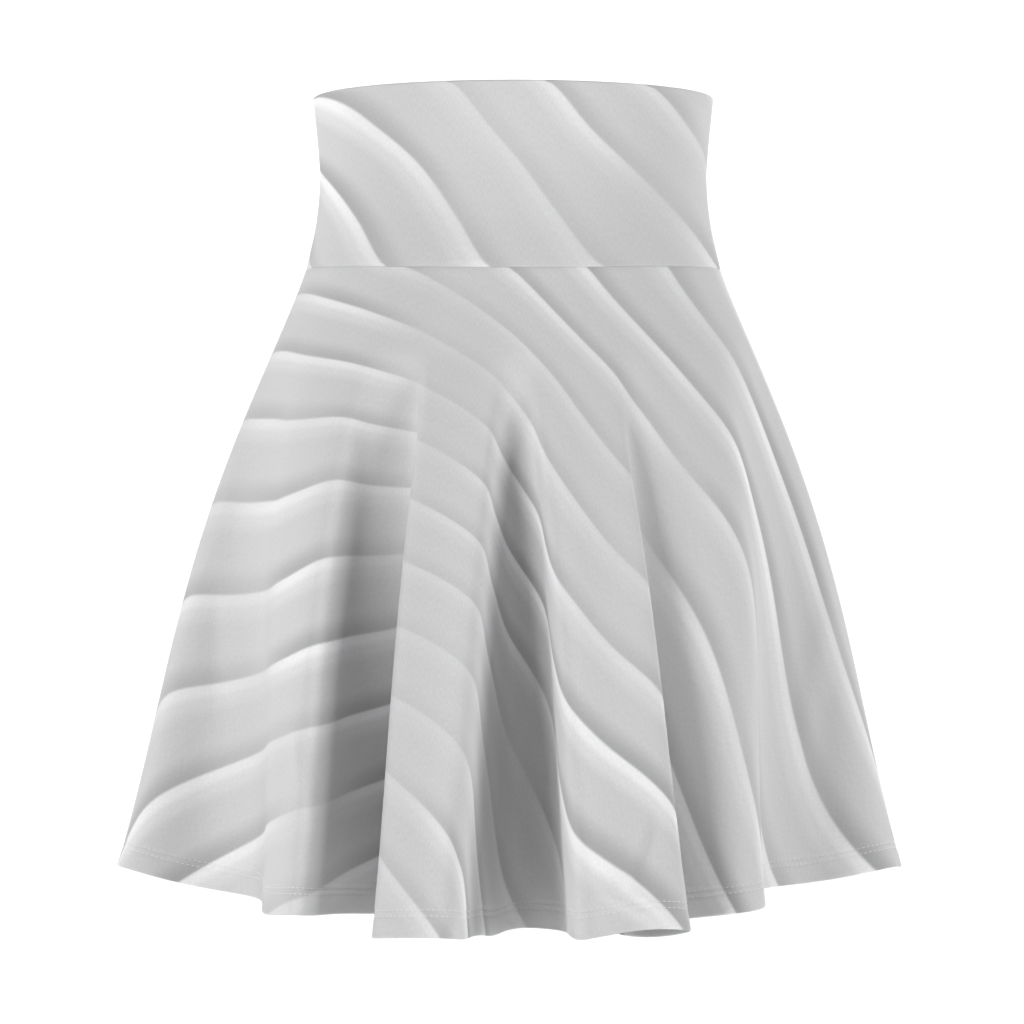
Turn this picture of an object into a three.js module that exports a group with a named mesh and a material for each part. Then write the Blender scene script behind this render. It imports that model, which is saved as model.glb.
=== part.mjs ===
// A high-waisted skater skirt in stretch knit: a wide shaped yoke at the waist, and below it a flared skirt of two
// panels that hangs in ten flutes. It is hollow, as when it is worn. Millimetres, +Z up, the front towards -Y, +X to
// the right when it is seen from the front, and the origin at the centre of the waist, where the yoke is narrowest.
import * as THREE from "three";

// Cloth and sewing.
const SKIRT_CLOTH = 1.2;
const YOKE_CLOTH = 2.0; // two layers of the same cloth
const SEAM_GAP = 0.3;
const HEM_DEPTH = 15; // the hem is turned up inside
const HEM_EXTRA = 0.8; // how much thicker the wall is there
const HEM_STEP = 1.0; // the turned edge slopes in over this length

// The yoke, ring by ring from its top edge to the seam: height at the side, half width, reach to front and to back.
const YOKE_RINGS = [
  { height: 49, halfWidth: 117.5, front: 88.5, back: 87 },
  { height: 23, halfWidth: 114.8, front: 86.5, back: 85.5 },
  { height: 0, halfWidth: 113.5, front: 86, back: 85 },
  { height: -26, halfWidth: 116.0, front: 89.5, back: 89.5 },
  { height: -51.5, halfWidth: 121.7, front: 97, back: 98 },
];
const SEAM_OVAL = YOKE_RINGS[YOKE_RINGS.length - 1];
const SEAM_DIP = 5; // the seam lies this much lower at the front and back centre than at the sides
const SEAM_FLARE = THREE.MathUtils.degToRad(16); // slope of the cloth where the skirt joins the yoke

// The skirt's length of cloth from seam to hem, and the oval that its crests reach at the hem.
const SKIRT_LENGTH = 369;
const HEM_OVAL = { halfWidth: 229, front: 194, back: 196 };
const HIP_FULLNESS = 0.1; // how far the upper skirt stands out past a straight slope, as a share of the flare
const HIP_PLACE = 0.444; // where along the length it does so most
const HIP_RISE = 1.6; // how sharply that fullness sets in above there
const HIP_FALL = 2; // and how sharply it fades below
const FOLD_START = 0.13; // the share of the length above which the folds are flat
const FOLD_EASE = 0.05; // how softly they set in there, as a share of the length below

// The fold lines that shape the ten flutes, from the left side seam over the front, the right side and the back. At
// the hem each passes through a place given by its angle in degrees from the front centre, towards the right, and its
// reach from the axis. top is its angle at the seam, and drop is how much longer than SKIRT_LENGTH the cloth is there.
const FOLDS = [
  { fold: "left side crest", hem: -90, reach: 231, top: -90, drop: -2 },
  { fold: "left side crest", hem: -77.5, reach: 225, top: -82, drop: -6 },
  { fold: "left side hollow", hem: -75.5, reach: 182, top: -73, drop: -4 },
  { fold: "left side hollow", hem: -66.5, reach: 160, top: -64, drop: -3 },
  { fold: "outer left crest", hem: -47.2, reach: 186, top: -54, drop: 4 },
  { fold: "outer left crest", hem: -36.2, reach: 198, top: -36.5, drop: 5 },
  { fold: "inner left flank", hem: -41, reach: 135, top: -32, drop: 4 },
  { fold: "inner left valley", hem: -36, reach: 68, top: -21.5, drop: 6 },
  { fold: "inner left crest", hem: -24.5, reach: 184, top: -19.3, drop: 9 },
  { fold: "inner left crest", hem: -11, reach: 192, top: -4, drop: 7 },
  { fold: "centre flank", hem: -9, reach: 126, top: -2.5, drop: 4 },
  { fold: "centre valley", hem: 0, reach: 72, top: -0.5, drop: 15 },
  { fold: "centre valley", hem: 15, reach: 98, top: 3.2, drop: 15 },
  { fold: "centre right flank", hem: 11.2, reach: 158, top: 4.5, drop: 12 },
  { fold: "inner right crest", hem: 11.8, reach: 193, top: 5.6, drop: 13 },
  { fold: "inner right crest", hem: 21, reach: 195, top: 14, drop: 6 },
  { fold: "inner right crest", hem: 30.7, reach: 194, top: 22.6, drop: 12 },
  { fold: "inner right flank", hem: 26.5, reach: 170, top: 24, drop: 16 },
  { fold: "inner right valley", hem: 22, reach: 150, top: 25.3, drop: 16 },
  { fold: "inner right valley", hem: 26, reach: 137, top: 26.8, drop: 13 },
  { fold: "outer right flank", hem: 37.5, reach: 166, top: 32, drop: 6 },
  { fold: "outer right crest", hem: 43, reach: 189, top: 43, drop: 4 },
  { fold: "outer right crest", hem: 46.5, reach: 190, top: 54, drop: 1 },
  { fold: "right side hollow", hem: 62, reach: 160, top: 62, drop: -9 },
  { fold: "right side hollow", hem: 73, reach: 180, top: 72, drop: -8 },
  { fold: "right side crest front", hem: 78, reach: 221, top: 82, drop: -8 },
  { fold: "right side crest", hem: 90, reach: 227, top: 90, drop: -2 },
  { fold: "right side crest back", hem: 101, reach: 214, top: 98, drop: -5 },
  { fold: "right back hollow", hem: 112, reach: 174, top: 109, drop: -4 },
  { fold: "right back hollow", hem: 121, reach: 163, top: 118, drop: -4 },
  { fold: "back outer right crest", hem: 132, reach: 191, top: 126, drop: 2 },
  { fold: "back outer right crest", hem: 143, reach: 197, top: 138, drop: 4 },
  { fold: "back outer right valley", hem: 141, reach: 104, top: 149, drop: 4 },
  { fold: "back inner right crest", hem: 153, reach: 189, top: 156, drop: 6 },
  { fold: "back inner right crest", hem: 169, reach: 197, top: 167, drop: 6 },
  { fold: "back centre valley", hem: 175, reach: 100, top: 177, drop: 3 },
  { fold: "back centre valley", hem: 187, reach: 100, top: 184, drop: 3 },
  { fold: "back inner left crest", hem: 191, reach: 195, top: 191, drop: 6 },
  { fold: "back inner left crest", hem: 207, reach: 192, top: 205, drop: 5 },
  { fold: "back outer left valley", hem: 217, reach: 106, top: 211, drop: 4 },
  { fold: "back outer left crest", hem: 217, reach: 194, top: 222, drop: 4 },
  { fold: "back outer left crest", hem: 228, reach: 196, top: 234, drop: 2 },
  { fold: "left back hollow", hem: 240, reach: 163, top: 243, drop: -4 },
  { fold: "left back hollow", hem: 249, reach: 175, top: 252, drop: -4 },
  { fold: "left side crest", hem: 259, reach: 215, top: 262, drop: -5 },
];
// One side seam runs down the first fold line of the table, and the other down this one.
const RIGHT_SIDE = FOLDS.findIndex((f) => f.fold === "right side crest");

// How finely the ring is worked out, and how many of its columns and rows the solids keep.
const PANEL_SAMPLES = 360;
const COLUMN_STEP = 4;
const YOKE_COLUMN_STEP = 9;
const LENGTH_STEPS = 50;
const CURVE_FINENESS = 12; // pieces of a curve that are measured for each point on it
const NORMAL_REACH = 0.004; // share of the length over which a face's slope is measured
const YOKE_ROWS = 8;
const SKIRT_ROWS = [0, 0.05, 0.11, 0.18, 0.27, 0.38, 0.5, 0.63, 0.76, 0.88];
const FOLD_SOFTNESS = 9; // smoothing passes along each section, which round the folds
const DROP_SOFTNESS = 60; // and those along the ring of drops

const RING_SAMPLES = 2 * PANEL_SAMPLES;
const wrap = (i) => (i + RING_SAMPLES) % RING_SAMPLES;
const lerp = THREE.MathUtils.lerp;

// The point of a plan drawing at an angle from the front centre and a distance from the axis.
function planPoint(degrees, reach) {
  const angle = THREE.MathUtils.degToRad(degrees);
  return new THREE.Vector3(reach * Math.sin(angle), -reach * Math.cos(angle), 0);
}

// The point of an oval whose front half and back half have their own depths.
function ovalPoint(oval, angle) {
  const depth = Math.cos(angle) > 0 ? oval.front : oval.back;
  return new THREE.Vector3(oval.halfWidth * Math.sin(angle), -depth * Math.cos(angle), 0);
}

// Points a whole number of equal steps of length along part of a curve, from curve value a up to b.
function evenPoints(curveAt, a, b, count) {
  const fine = CURVE_FINENESS * count;
  const points = [];
  const lengths = [0];
  for (let k = 0; k <= fine; k++) {
    points.push(curveAt(lerp(a, b, k / fine)));
    if (k > 0) lengths.push(lengths[k - 1] + points[k].distanceTo(points[k - 1]));
  }
  const even = [];
  let k = 0;
  for (let n = 0; n < count; n++) {
    const wanted = (lengths[fine] * n) / count;
    while (lengths[k + 1] < wanted) k++;
    const share = (wanted - lengths[k]) / (lengths[k + 1] - lengths[k]);
    even.push(points[k].clone().lerp(points[k + 1], share));
  }
  return even;
}

// A closed ring of points or numbers, smoothed by passes that average each one with its neighbours.
function smoothRing(ring, passes) {
  let now = ring;
  for (let pass = 0; pass < passes; pass++) {
    now = now.map((p, i) => 0.5 * p + 0.25 * (now[wrap(i - 1)] + now[wrap(i + 1)]));
  }
  return now;
}

function smoothPoints(ring, passes) {
  const x = smoothRing(ring.map((p) => p.x), passes);
  const y = smoothRing(ring.map((p) => p.y), passes);
  return ring.map((_, i) => new THREE.Vector3(x[i], y[i], 0));
}

// How far from the seam's oval to the hem's oval the cloth has come at a share of its length.
function flareAt(share) {
  const bulge = (share / HIP_PLACE) ** HIP_RISE * ((1 - share) / (1 - HIP_PLACE)) ** HIP_FALL;
  return share + HIP_FULLNESS * bulge;
}

function foldAt(share) {
  const below = Math.max(0, (share - FOLD_START) / (1 - FOLD_START));
  return (below ** 2 * (1 + FOLD_EASE)) / (below + FOLD_EASE);
}

// Where each fold line passes at a share of the skirt's length, in plan: it flares out as a whole and swings over to
// its place at the hem as the folds deepen.
function foldPlaces(share) {
  return FOLDS.map((fold) => {
    const angle = THREE.MathUtils.degToRad(fold.top);
    const seam = ovalPoint(SEAM_OVAL, angle);
    const flare = ovalPoint(HEM_OVAL, angle).sub(seam);
    const place = seam.clone().lerp(planPoint(fold.hem, fold.reach), foldAt(share));
    return place.addScaledVector(flare, flareAt(share) - foldAt(share));
  });
}

// The skirt's section at a share of its length: the samples of each panel are equally far apart, as in the flat cloth.
function sectionRing(share) {
  const curve = new THREE.CatmullRomCurve3(foldPlaces(share), true, "centripetal");
  const rightSide = RIGHT_SIDE / FOLDS.length;
  const at = (t) => curve.getPoint(t);
  const ring = [...evenPoints(at, 0, rightSide, PANEL_SAMPLES), ...evenPoints(at, rightSide, 1, PANEL_SAMPLES)];
  return smoothPoints(ring, FOLD_SOFTNESS);
}

const SECTIONS = Array.from({ length: LENGTH_STEPS + 1 }, (_, k) => sectionRing(k / LENGTH_STEPS));
const SEAM = SECTIONS[0];

// How much longer than its cut length the cloth hangs at each sample: that of the nearest fold line, evened out.
function dropRing() {
  const places = foldPlaces(1);
  const nearest = SECTIONS[LENGTH_STEPS].map((p) => {
    const distances = places.map((place) => place.distanceTo(p));
    return FOLDS[distances.indexOf(Math.min(...distances))].drop;
  });
  return smoothRing(nearest, DROP_SOFTNESS);
}
const DROPS = dropRing();

function seamHeight(p) {
  const side = p.x / SEAM_OVAL.halfWidth;
  return SEAM_OVAL.height - SEAM_DIP * (1 - side * side);
}

// The skirt's outer face down one sample, in equal steps of cloth. The cloth keeps its length, so what swings outwards
// hangs less far down.
function skirtThread(i) {
  const step = (SKIRT_LENGTH + DROPS[i]) / LENGTH_STEPS;
  const thread = [SEAM[i].clone().setZ(seamHeight(SEAM[i]))];
  for (let k = 1; k <= LENGTH_STEPS; k++) {
    const next = SECTIONS[k][i].clone();
    const last = thread[k - 1];
    const across = Math.hypot(next.x - last.x, next.y - last.y);
    thread.push(next.setZ(last.z - Math.sqrt(step * step - across * across)));
  }
  return thread;
}

const THREADS = SEAM.map((_, i) => skirtThread(i));

function skirtPoint(i, share) {
  const place = share * LENGTH_STEPS;
  const k = Math.min(Math.floor(place), LENGTH_STEPS - 1);
  return THREADS[wrap(i)][k].clone().lerp(THREADS[wrap(i)][k + 1], place - k);
}

// The yoke's outer face at a sample of the ring, from its top edge at share 0 to the seam at 1.
function yokePoint(i, share) {
  const seam = SEAM[wrap(i)];
  const last = YOKE_RINGS.length - 1;
  const place = share * last;
  const k = Math.min(Math.floor(place), last - 1);
  const row = (n) => YOKE_RINGS[Math.min(Math.max(n, 0), last)];
  const mix = (key) => catmull(row(k - 1)[key], row(k)[key], row(k + 1)[key], row(k + 2)[key], place - k);
  const angle = Math.atan2(seam.x / SEAM_OVAL.halfWidth, -seam.y / (seam.y < 0 ? SEAM_OVAL.front : SEAM_OVAL.back));
  const p = ovalPoint({ halfWidth: mix("halfWidth"), front: mix("front"), back: mix("back") }, angle);
  return p.setZ(mix("height") + (seamHeight(seam) - SEAM_OVAL.height) * share * share);
}

function catmull(a, b, c, d, t) {
  return b + 0.5 * t * (c - a + t * (2 * a - 5 * b + 4 * c - d + t * (3 * (b - c) + d - a)));
}

// The outward normal of a face given as a function of sample and share.
function normalOf(face, i, share) {
  const across = face(i + 1, share).sub(face(i - 1, share));
  const down = face(i, Math.min(share + NORMAL_REACH, 1)).sub(face(i, Math.max(share - NORMAL_REACH, 0)));
  return down.cross(across).normalize();
}

// The normal and downward direction that yoke and skirt share where they are sewn together.
function seamFrame(i) {
  const across = SEAM[wrap(i + 1)].clone().sub(SEAM[wrap(i - 1)]);
  const level = new THREE.Vector3(across.y, -across.x, 0).normalize();
  const normal = level.clone().multiplyScalar(Math.cos(SEAM_FLARE)).setZ(Math.sin(SEAM_FLARE));
  const down = level.multiplyScalar(Math.sin(SEAM_FLARE)).setZ(-Math.cos(SEAM_FLARE));
  return { normal, down };
}

// A closed wall from its outer face down to an inner face that lies thickness(row) inside it. The rows run downwards
// and the columns from left to right seen from outside. seamRow is the row sewn to the other piece.
function wall(name, colour, face, columns, shares, thickness, seamRow) {
  const outer = [];
  const inner = [];
  const half = SEAM_GAP / 2;
  shares.forEach((share, row) => {
    columns.forEach((i, column) => {
      const point = face(i, share);
      let normal = normalOf(face, i, share);
      if (row === seamRow) {
        const frame = seamFrame(i);
        normal = frame.normal;
        point.addScaledVector(frame.down, seamRow === 0 ? half : -half);
      }
      const across = face(i + 1, share).sub(face(i - 1, share)).normalize();
      if (column === 0) point.addScaledVector(across, half);
      if (column === columns.length - 1) point.addScaledVector(across, -half);
      outer.push(point);
      inner.push(point.clone().addScaledVector(normal, -thickness(row)));
    });
  });
  const wide = columns.length;
  const high = shares.length;
  const count = wide * high;
  const at = (column, row) => row * wide + column;
  const index = [];
  const points = [...outer, ...inner];
  const quad = (a, b, c, d) => {
    const alongAC = points[a].distanceTo(points[c]) <= points[b].distanceTo(points[d]);
    if (alongAC) index.push(a, b, c, a, c, d);
    else index.push(a, b, d, b, c, d);
  };
  for (let row = 0; row + 1 < high; row++) {
    for (let column = 0; column + 1 < wide; column++) {
      const [a, b, c, d] = [at(column, row), at(column, row + 1), at(column + 1, row + 1), at(column + 1, row)];
      quad(a, b, c, d);
      quad(count + a, count + d, count + c, count + b);
    }
  }
  for (let column = 0; column + 1 < wide; column++) {
    const [a, b] = [at(column, 0), at(column + 1, 0)];
    quad(a, b, count + b, count + a);
    const [c, d] = [at(column, high - 1), at(column + 1, high - 1)];
    quad(d, c, count + c, count + d);
  }
  for (let row = 0; row + 1 < high; row++) {
    const [a, b] = [at(0, row), at(0, row + 1)];
    quad(b, a, count + a, count + b);
    const [c, d] = [at(wide - 1, row), at(wide - 1, row + 1)];
    quad(c, d, count + d, count + c);
  }
  const geometry = new THREE.BufferGeometry().setFromPoints(points);
  geometry.setIndex(index);
  geometry.computeVertexNormals();
  const material = new THREE.MeshStandardMaterial({ color: colour, roughness: 0.75, metalness: 0 });
  const mesh = new THREE.Mesh(geometry, material);
  mesh.name = name;
  return mesh;
}

// Every step-th sample of a panel, from one side seam to the other.
function panelColumns(first, step) {
  return Array.from({ length: PANEL_SAMPLES / step + 1 }, (_, n) => first + n * step);
}

function yokePanel(name, colour, first) {
  const shares = Array.from({ length: YOKE_ROWS + 1 }, (_, n) => n / YOKE_ROWS);
  return wall(name, colour, yokePoint, panelColumns(first, YOKE_COLUMN_STEP), shares, () => YOKE_CLOTH, YOKE_ROWS);
}

function skirtPanel(name, colour, first) {
  const turn = 1 - HEM_DEPTH / SKIRT_LENGTH;
  const shares = [...SKIRT_ROWS, turn - HEM_STEP / SKIRT_LENGTH, turn, 1];
  const thickness = (row) => (row >= shares.length - 2 ? SKIRT_CLOTH + HEM_EXTRA : SKIRT_CLOTH);
  return wall(name, colour, skirtPoint, panelColumns(first, COLUMN_STEP), shares, thickness, 0);
}

const skirt = new THREE.Group();
skirt.add(yokePanel("yoke_front", 0xd6d6d6, 0));
skirt.add(yokePanel("yoke_back", 0xd2d2d2, PANEL_SAMPLES));
skirt.add(skirtPanel("skirt_front", 0xd8d8d8, 0));
skirt.add(skirtPanel("skirt_back", 0xd4d4d4, PANEL_SAMPLES));

export default skirt;
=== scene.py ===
import math
from collections import namedtuple

import bpy
import numpy as np
from bpy.props import FloatProperty, PointerProperty
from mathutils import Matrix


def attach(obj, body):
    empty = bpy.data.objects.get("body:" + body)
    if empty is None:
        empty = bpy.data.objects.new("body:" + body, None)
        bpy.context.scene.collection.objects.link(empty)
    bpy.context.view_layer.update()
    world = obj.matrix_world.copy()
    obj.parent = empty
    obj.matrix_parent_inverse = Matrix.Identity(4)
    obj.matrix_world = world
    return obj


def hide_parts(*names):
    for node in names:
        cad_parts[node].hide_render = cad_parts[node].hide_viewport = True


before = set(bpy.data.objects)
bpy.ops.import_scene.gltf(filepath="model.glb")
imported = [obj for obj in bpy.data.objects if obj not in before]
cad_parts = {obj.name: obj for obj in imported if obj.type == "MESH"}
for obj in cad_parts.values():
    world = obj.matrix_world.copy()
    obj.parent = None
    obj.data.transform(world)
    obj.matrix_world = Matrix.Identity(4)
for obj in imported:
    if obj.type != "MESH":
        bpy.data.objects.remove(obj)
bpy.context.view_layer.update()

bl_info = {
    "name": "Skater skirt",
    "version": (1, 0, 0),
    "blender": (4, 5, 0),
    "location": "3D View > Sidebar > Skirt",
    "description": "A flared skirt with a wide yoke, its hem, seams and stitching",
    "category": "Object",
}

MM = 0.001

# The cloth's sizes, as in the solids.
SEAM_GAP = 0.3
HEM_DEPTH = 15  # how far the hem is turned up inside
HEM_THICK = 2.0  # the turned-up hem, both layers
YOKE_THICK = 2.0  # the yoke, both layers
SEAM_DIP = 5  # the yoke's seam lies this much lower at the front and back centre than at the sides
SEAM_FLARE = math.radians(16)  # slope of the cloth where the skirt joins the yoke
SKIRT_LENGTH = 369  # the skirt's cloth from seam to hem
HIP_FULLNESS = 0.1  # how far the upper skirt stands out past a straight slope, as a share of the flare
HIP_PLACE = 0.444  # where along the length it does so most
HIP_RISE = 1.6  # how sharply that fullness sets in above there
HIP_FALL = 2  # and how sharply it fades below
FOLD_START = 0.13  # the share of the length above which the folds are flat
FOLD_EASE = 0.05  # how softly they set in there, as a share of the length below

# The yoke, ring by ring from its top edge to the seam: height at the side, half width, and reach to the
# front and to the back.
Oval = namedtuple("Oval", "height half_width front back")
YOKE_RINGS = [
    Oval(49, 117.5, 88.5, 87),
    Oval(23, 114.8, 86.5, 85.5),
    Oval(0, 113.5, 86, 85),
    Oval(-26, 116.0, 89.5, 89.5),
    Oval(-51.5, 121.7, 97, 98),
]
SEAM_OVAL = YOKE_RINGS[-1]
HEM_OVAL = Oval(0, 229, 194, 196)

# The lines that the flutes follow: angle in degrees from the front centre and reach from the axis at the
# hem, angle at the yoke, and how much longer than SKIRT_LENGTH the cloth is there.
Fold = namedtuple("Fold", "name hem reach top drop")
FOLDS = [
    Fold("left side crest", -90, 231, -90, -2),
    Fold("left side crest", -77.5, 225, -82, -6),
    Fold("left side hollow", -75.5, 182, -73, -4),
    Fold("left side hollow", -66.5, 160, -64, -3),
    Fold("outer left crest", -47.2, 186, -54, 4),
    Fold("outer left crest", -36.2, 198, -36.5, 5),
    Fold("inner left flank", -41, 135, -32, 4),
    Fold("inner left valley", -36, 68, -21.5, 6),
    Fold("inner left crest", -24.5, 184, -19.3, 9),
    Fold("inner left crest", -11, 192, -4, 7),
    Fold("centre flank", -9, 126, -2.5, 4),
    Fold("centre valley", 0, 72, -0.5, 15),
    Fold("centre valley", 15, 98, 3.2, 15),
    Fold("centre right flank", 11.2, 158, 4.5, 12),
    Fold("inner right crest", 11.8, 193, 5.6, 13),
    Fold("inner right crest", 21, 195, 14, 6),
    Fold("inner right crest", 30.7, 194, 22.6, 12),
    Fold("inner right flank", 26.5, 170, 24, 16),
    Fold("inner right valley", 22, 150, 25.3, 16),
    Fold("inner right valley", 26, 137, 26.8, 13),
    Fold("outer right flank", 37.5, 166, 32, 6),
    Fold("outer right crest", 43, 189, 43, 4),
    Fold("outer right crest", 46.5, 190, 54, 1),
    Fold("right side hollow", 62, 160, 62, -9),
    Fold("right side hollow", 73, 180, 72, -8),
    Fold("right side crest front", 78, 221, 82, -8),
    Fold("right side crest", 90, 227, 90, -2),
    Fold("right side crest back", 101, 214, 98, -5),
    Fold("right back hollow", 112, 174, 109, -4),
    Fold("right back hollow", 121, 163, 118, -4),
    Fold("back outer right crest", 132, 191, 126, 2),
    Fold("back outer right crest", 143, 197, 138, 4),
    Fold("back outer right valley", 141, 104, 149, 4),
    Fold("back inner right crest", 153, 189, 156, 6),
    Fold("back inner right crest", 169, 197, 167, 6),
    Fold("back centre valley", 175, 100, 177, 3),
    Fold("back centre valley", 187, 100, 184, 3),
    Fold("back inner left crest", 191, 195, 191, 6),
    Fold("back inner left crest", 207, 192, 205, 5),
    Fold("back outer left valley", 217, 106, 211, 4),
    Fold("back outer left crest", 217, 194, 222, 4),
    Fold("back outer left crest", 228, 196, 234, 2),
    Fold("left back hollow", 240, 163, 243, -4),
    Fold("left back hollow", 249, 175, 252, -4),
    Fold("left side crest", 259, 215, 262, -5),
]
RIGHT_SIDE = [fold.name for fold in FOLDS].index("right side crest")

# The creases pressed into the cloth: where they are along the ring, counted in panels from the left side
# seam, and down the skirt as a share of its length, their length, width and depth, and how far they lean
# from the cloth's fall, in degrees. A depth above 0 is a ridge and one below 0 a trough.
Crease = namedtuple("Crease", "place along down length width depth lean")
CREASES = [
    Crease("inner right crest, across its foot", 0.6885, 0.963, 44, 2.9, 2.5, 51),
    Crease("inner right crest, beside it", 0.6785, 0.963, 50, 2.9, 2.2, 57),
    Crease("inner right crest, above its foot", 0.683, 0.89, 38, 3.2, 1.6, -16),
    Crease("inner right crest, beside that", 0.691, 0.875, 26, 3.2, -1.3, -20),
    Crease("inner left crest", 0.452, 0.83, 52, 5.5, -1.2, 10),
    Crease("outer left crest", 0.2, 0.80, 60, 6, 1.3, 12),
    Crease("left side", 0.07, 0.62, 70, 7, -1.2, 9),
    Crease("right side", 0.93, 0.70, 80, 8, 1.3, -14),
    Crease("back inner left crest, across its foot", 1.61, 0.95, 44, 3.1, 2.2, -58),
    Crease("back inner left crest, beside it", 1.623, 0.952, 36, 3.1, 1.9, -50),
    Crease("back inner right crest", 1.39, 0.86, 46, 4, -1.4, 22),
    Crease("back outer left crest", 1.83, 0.74, 60, 6, 1.2, -15),
]

# How finely the cloth is worked out.
PANEL_SAMPLES = 360
RING_SAMPLES = 2 * PANEL_SAMPLES
LENGTH_STEPS = 90
YOKE_STEPS = 36
YOKE_COLUMN_STEP = 3
FOLD_SOFTNESS = 9  # smoothing passes along each section, which round the folds
DROP_SOFTNESS = 60  # and those along the ring of extra lengths
CURVE_FINENESS = 24  # pieces of a curve that are measured for each point on it

# Seams and stitching.
ROLL = 0.6  # how tightly the cloth turns in at a seam
ALLOWANCE = 6.0
ALLOWANCE_PARTS = (1.0, 0.66, 0.33)  # where an allowance has its rows of points, from its free edge
TUCKED = 0.3  # how far it goes in where another layer covers it
TUCK_FADE = 14  # length below the yoke over which a side seam's allowance comes to its full width
HEM_FADE = 4  # and the length above the turned-up hem over which it ends
SEAM_LEAN = math.radians(50)  # how far the allowances lean over to one side
YOKE_LIFT = 0.2  # how far the yoke's inner allowance stays clear of the layers under it
INNER_LAYER_END = 0.97  # the share of the yoke's length that its inner layer reaches down to
ARC_STEPS = 4
HEM_ROWS = (14.6, 11.4)  # the two rows of the twin needle, above the edge
HEM_MIDDLE = sum(HEM_ROWS) / 2
# Where the cloth has its rows of points near the hem, above the edge: finest at the stitches.
HEM_LINES = (21, 19, 17.2, 16.2, 15.4, 14.6, 13.8, 13, 12.2, 11.4, 10.6, 9.6, 8, 6, 4, 2.4, 1)
TURNED_ROWS = 6
ROW_GROOVE = 0.3
GROOVE_WIDTH = 0.8
PUCKER = 0.14
PUCKER_PITCH = 8.0
PUCKER_DRIFT = 5.1  # makes the puckers uneven along the hem
PUCKER_REACH = 9  # how far they reach above and below the stitches
STITCH_SIDES = 5
STITCH_RINGS = 4
NEEDLE_SHARE = 0.76  # length of a stitch of the hem's rows, as a share of their pitch
NEEDLE_LOFT = 1.15  # how much thicker than elsewhere the thread lies in those rows
LOOPER_WIDTH = 1.1  # width of the zigzag inside the hem, as a share of the gap between the rows
LOOPER_SHARE = 0.55  # length of one of its stitches, as a share of the rows' pitch
PROUD = 0.3  # the share of the thread's thickness by which a stitch's middle lies above the cloth
OVERLOCK_WIDTH = 4.0
OVERLOCK_PITCH = 3.4
OVERLOCK_SHARE = 0.6  # length of a stitch of its zigzag, as a share of its pitch
LOOP_SHARE = 0.3  # and that of a loop over the edge

# The print and the knit, on the flat cut in metres, and the thread.
BANDS = 20.0  # bands for each metre
BAND_SLOPE = 0.5
SWELL_RATE = 7.5
SWELL_DEPTH = 0.05
DRIFT_SCALE = 3.4
DRIFT_DEPTH = 0.22
FADE_SCALE = 6.0
FADE_RANGE = (0.36, 0.62)  # between these values of the noise the bands go from faint to full
FADE_LEAST = 0.15  # how strongly they show where they are faint
KNIT_SCALE = (1500, 420, 1)  # for each metre across the knit's columns and along them
KNIT_RELIEF = 0.0002
TWIST_SCALE = 2600.0
TWIST_RELIEF = 0.0001


def smooth_ring(ring, passes):
    """Average a closed ring of numbers or points with its neighbours, again and again."""
    for _ in range(passes):
        ring = 0.5 * ring + 0.25 * (np.roll(ring, 1, axis=0) + np.roll(ring, -1, axis=0))
    return ring


def unit(vectors):
    return vectors / np.linalg.norm(vectors, axis=-1, keepdims=True)


def mixed(a, b, share):
    return a + (b - a) * share


def oval_point(half_width, front, back, angle):
    """The plan point of an oval at an angle from the front centre."""
    depth = np.where(np.cos(angle) > 0, front, back)
    return np.stack([half_width * np.sin(angle), -depth * np.cos(angle)], axis=-1)


def catmull(a, b, c, d, t):
    return b + 0.5 * t * (c - a + t * (2 * a - 5 * b + 4 * c - d + t * (3 * (b - c) + d - a)))


def closed_curve(points, t):
    """A centripetal Catmull-Rom curve through a closed ring of points, at values t from 0 to 1."""
    count = len(points)
    place = np.asarray(t) * count
    k = np.floor(place).astype(int)
    w = (place - k)[:, None]
    p0, p1, p2, p3 = (points[(k + n) % count] for n in (-1, 0, 1, 2))
    pairs = ((p0, p1), (p1, p2), (p2, p3))
    d0, d1, d2 = (np.linalg.norm(b - a, axis=1, keepdims=True) ** 0.5 for a, b in pairs)
    t1 = ((p1 - p0) / d0 - (p2 - p0) / (d0 + d1) + (p2 - p1) / d1) * d1
    t2 = ((p2 - p1) / d1 - (p3 - p1) / (d1 + d2) + (p3 - p2) / d2) * d1
    return p1 + t1 * w + (3 * (p2 - p1) - 2 * t1 - t2) * w ** 2 + (2 * (p1 - p2) + t1 + t2) * w ** 3


def even_points(points, start, end, count):
    """Points equally far apart along part of the closed curve."""
    fine = closed_curve(points, np.linspace(start, end, CURVE_FINENESS * count + 1))
    steps = np.linalg.norm(np.diff(fine, axis=0), axis=1)
    length = np.concatenate([[0], np.cumsum(steps)])
    wanted = np.arange(count) * length[-1] / count
    return np.stack([np.interp(wanted, length, fine[:, n]) for n in (0, 1)], axis=1)


def flare_at(share):
    """How far the cloth has come from the yoke's oval to the hem's at a share of its length."""
    bulge = (share / HIP_PLACE) ** HIP_RISE * ((1 - share) / (1 - HIP_PLACE)) ** HIP_FALL
    return share + HIP_FULLNESS * bulge


def fold_at(share):
    below = max(0.0, (share - FOLD_START) / (1 - FOLD_START))
    return below ** 2 * (1 + FOLD_EASE) / (below + FOLD_EASE)


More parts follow.
